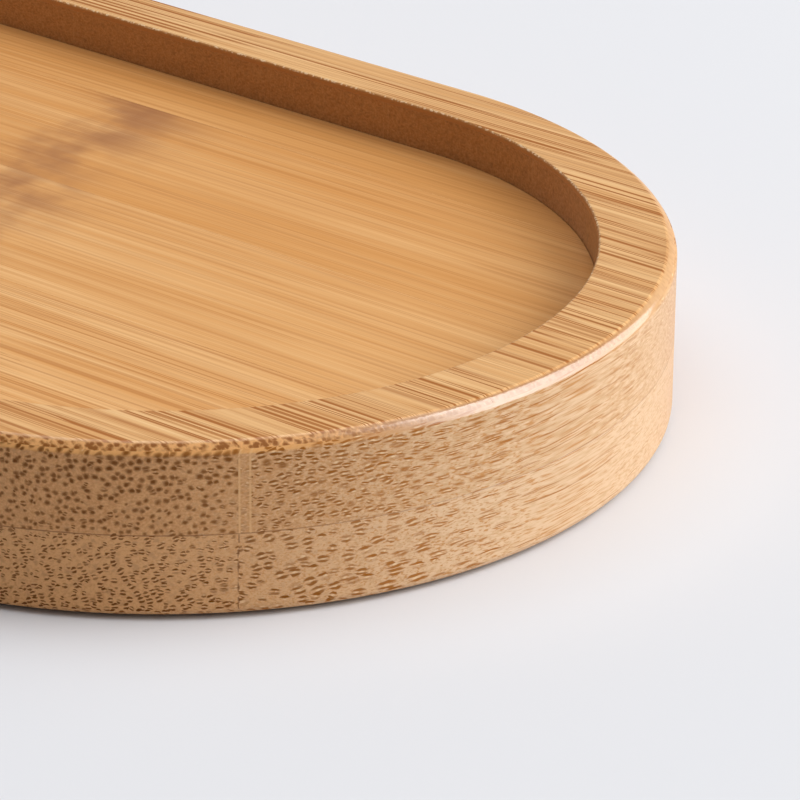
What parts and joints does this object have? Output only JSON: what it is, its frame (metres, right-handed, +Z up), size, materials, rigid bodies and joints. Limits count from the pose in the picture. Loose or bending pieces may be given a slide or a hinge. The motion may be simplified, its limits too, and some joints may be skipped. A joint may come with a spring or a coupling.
{
  "type": "vanity tray",
  "caption": "Low laminated bamboo tray with straight sides and round ends; a shallow flat recess holds bottles, jars or soap on a counter.",
  "frame": {"origin": "middle of the underside", "axes": "+X along the tray's length, +Y across it, +Z up out of the recess"},
  "size_m": [0.2, 0.09, 0.0156],
  "materials": {
    "bamboo_base": "crosswise bamboo strips, cut bundle ends on the sides, satin varnish",
    "bamboo_rim": "crosswise bamboo strips, cut bundle ends on the sides, satin varnish",
    "bamboo_face": "lengthwise bamboo with fine brown lines, satin varnish",
    "bamboo_floor": "lengthwise bamboo with fine brown lines and a darker knuckle, satin varnish"
  },
  "bodies": {
    "root": {"base_strip_01": "bamboo_base", "base_strip_02": "bamboo_base", "base_strip_03": "bamboo_base", "base_strip_04": "bamboo_base", "base_strip_05": "bamboo_base", "base_strip_06": "bamboo_base", "base_strip_07": "bamboo_base", "base_strip_08": "bamboo_base", "base_strip_09": "bamboo_base", "base_strip_10": "bamboo_base", "base_strip_11": "bamboo_base", "rim_strip_01": "bamboo_rim", "rim_strip_02": "bamboo_rim", "rim_strip_03": "bamboo_rim", "rim_strip_04": "bamboo_rim", "rim_strip_05": "bamboo_rim", "rim_strip_06": "bamboo_rim", "rim_strip_07": "bamboo_rim", "rim_strip_08": "bamboo_rim", "rim_strip_09": "bamboo_rim", "rim_strip_10": "bamboo_rim", "rim_strip_11": "bamboo_rim", "face_side_front": "bamboo_face", "face_side_back": "bamboo_face", "face_right_1": "bamboo_face", "face_right_2": "bamboo_face", "face_right_3": "bamboo_face", "face_left_1": "bamboo_face", "face_left_2": "bamboo_face", "face_left_3": "bamboo_face", "floor_strip_1": "bamboo_floor", "floor_strip_2": "bamboo_floor", "floor_strip_3": "bamboo_floor", "floor_strip_4": "bamboo_floor", "floor_strip_5": "bamboo_floor"}
  },
  "joints": []
}
